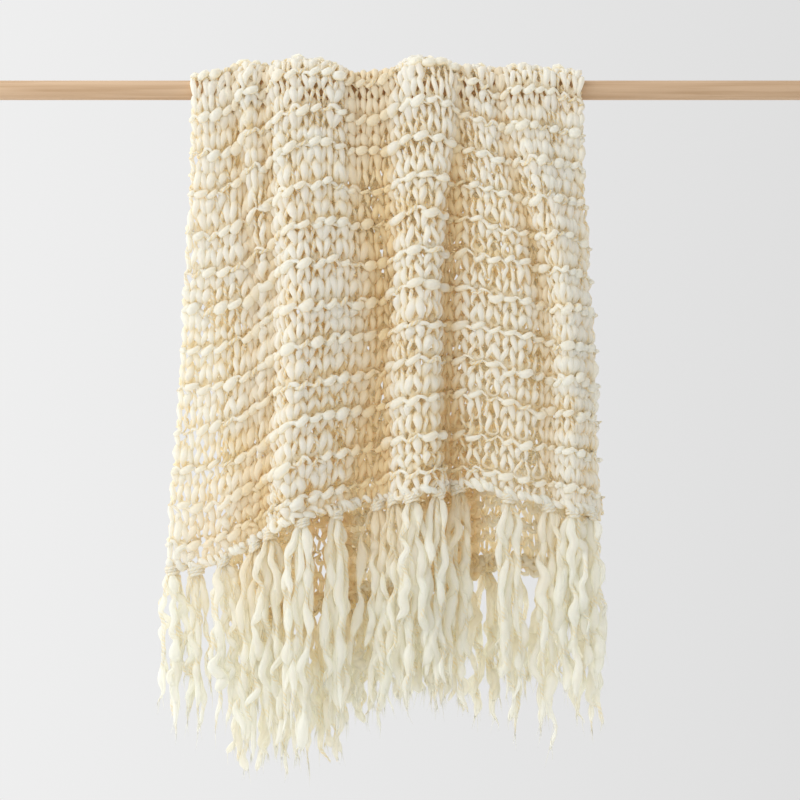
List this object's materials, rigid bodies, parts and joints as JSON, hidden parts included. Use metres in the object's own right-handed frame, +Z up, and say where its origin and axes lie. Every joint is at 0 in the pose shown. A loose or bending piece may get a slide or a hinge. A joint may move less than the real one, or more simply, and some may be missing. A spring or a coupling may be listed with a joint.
{
  "type": "fringed knitted wool blanket hung over a wooden rod",
  "caption": "Chunky hand-knit cream wool blanket with ribbed rows and a tasselled fringe, draped front and back over a round wooden rod.",
  "frame": {"origin": "middle of the rod's axis", "axes": "+X along the rod to the right, +Y from the front fall to the back fall, +Z up"},
  "size_m": [1.3, 0.1959, 1.127],
  "materials": {
    "wool": "matt thick and thin wool yarn",
    "wood": "pale oiled wood with fine grain"
  },
  "bodies": {
    "root": {"rod": "wood", "throw": "wool", "tassel_front_01": "wool", "tassel_front_02": "wool", "tassel_front_03": "wool", "tassel_front_04": "wool", "tassel_front_05": "wool", "tassel_front_06": "wool", "tassel_front_07": "wool", "tassel_front_08": "wool", "tassel_front_09": "wool", "tassel_front_10": "wool", "tassel_front_11": "wool", "tassel_front_12": "wool", "tassel_front_13": "wool", "tassel_front_14": "wool", "tassel_front_15": "wool", "tassel_front_16": "wool", "tassel_back_01": "wool", "tassel_back_02": "wool", "tassel_back_03": "wool", "tassel_back_04": "wool", "tassel_back_05": "wool", "tassel_back_06": "wool", "tassel_back_07": "wool", "tassel_back_08": "wool", "tassel_back_09": "wool", "tassel_back_10": "wool", "tassel_back_11": "wool", "tassel_back_12": "wool", "tassel_back_13": "wool", "tassel_back_14": "wool", "tassel_back_15": "wool", "tassel_back_16": "wool"}
  },
  "joints": []
}
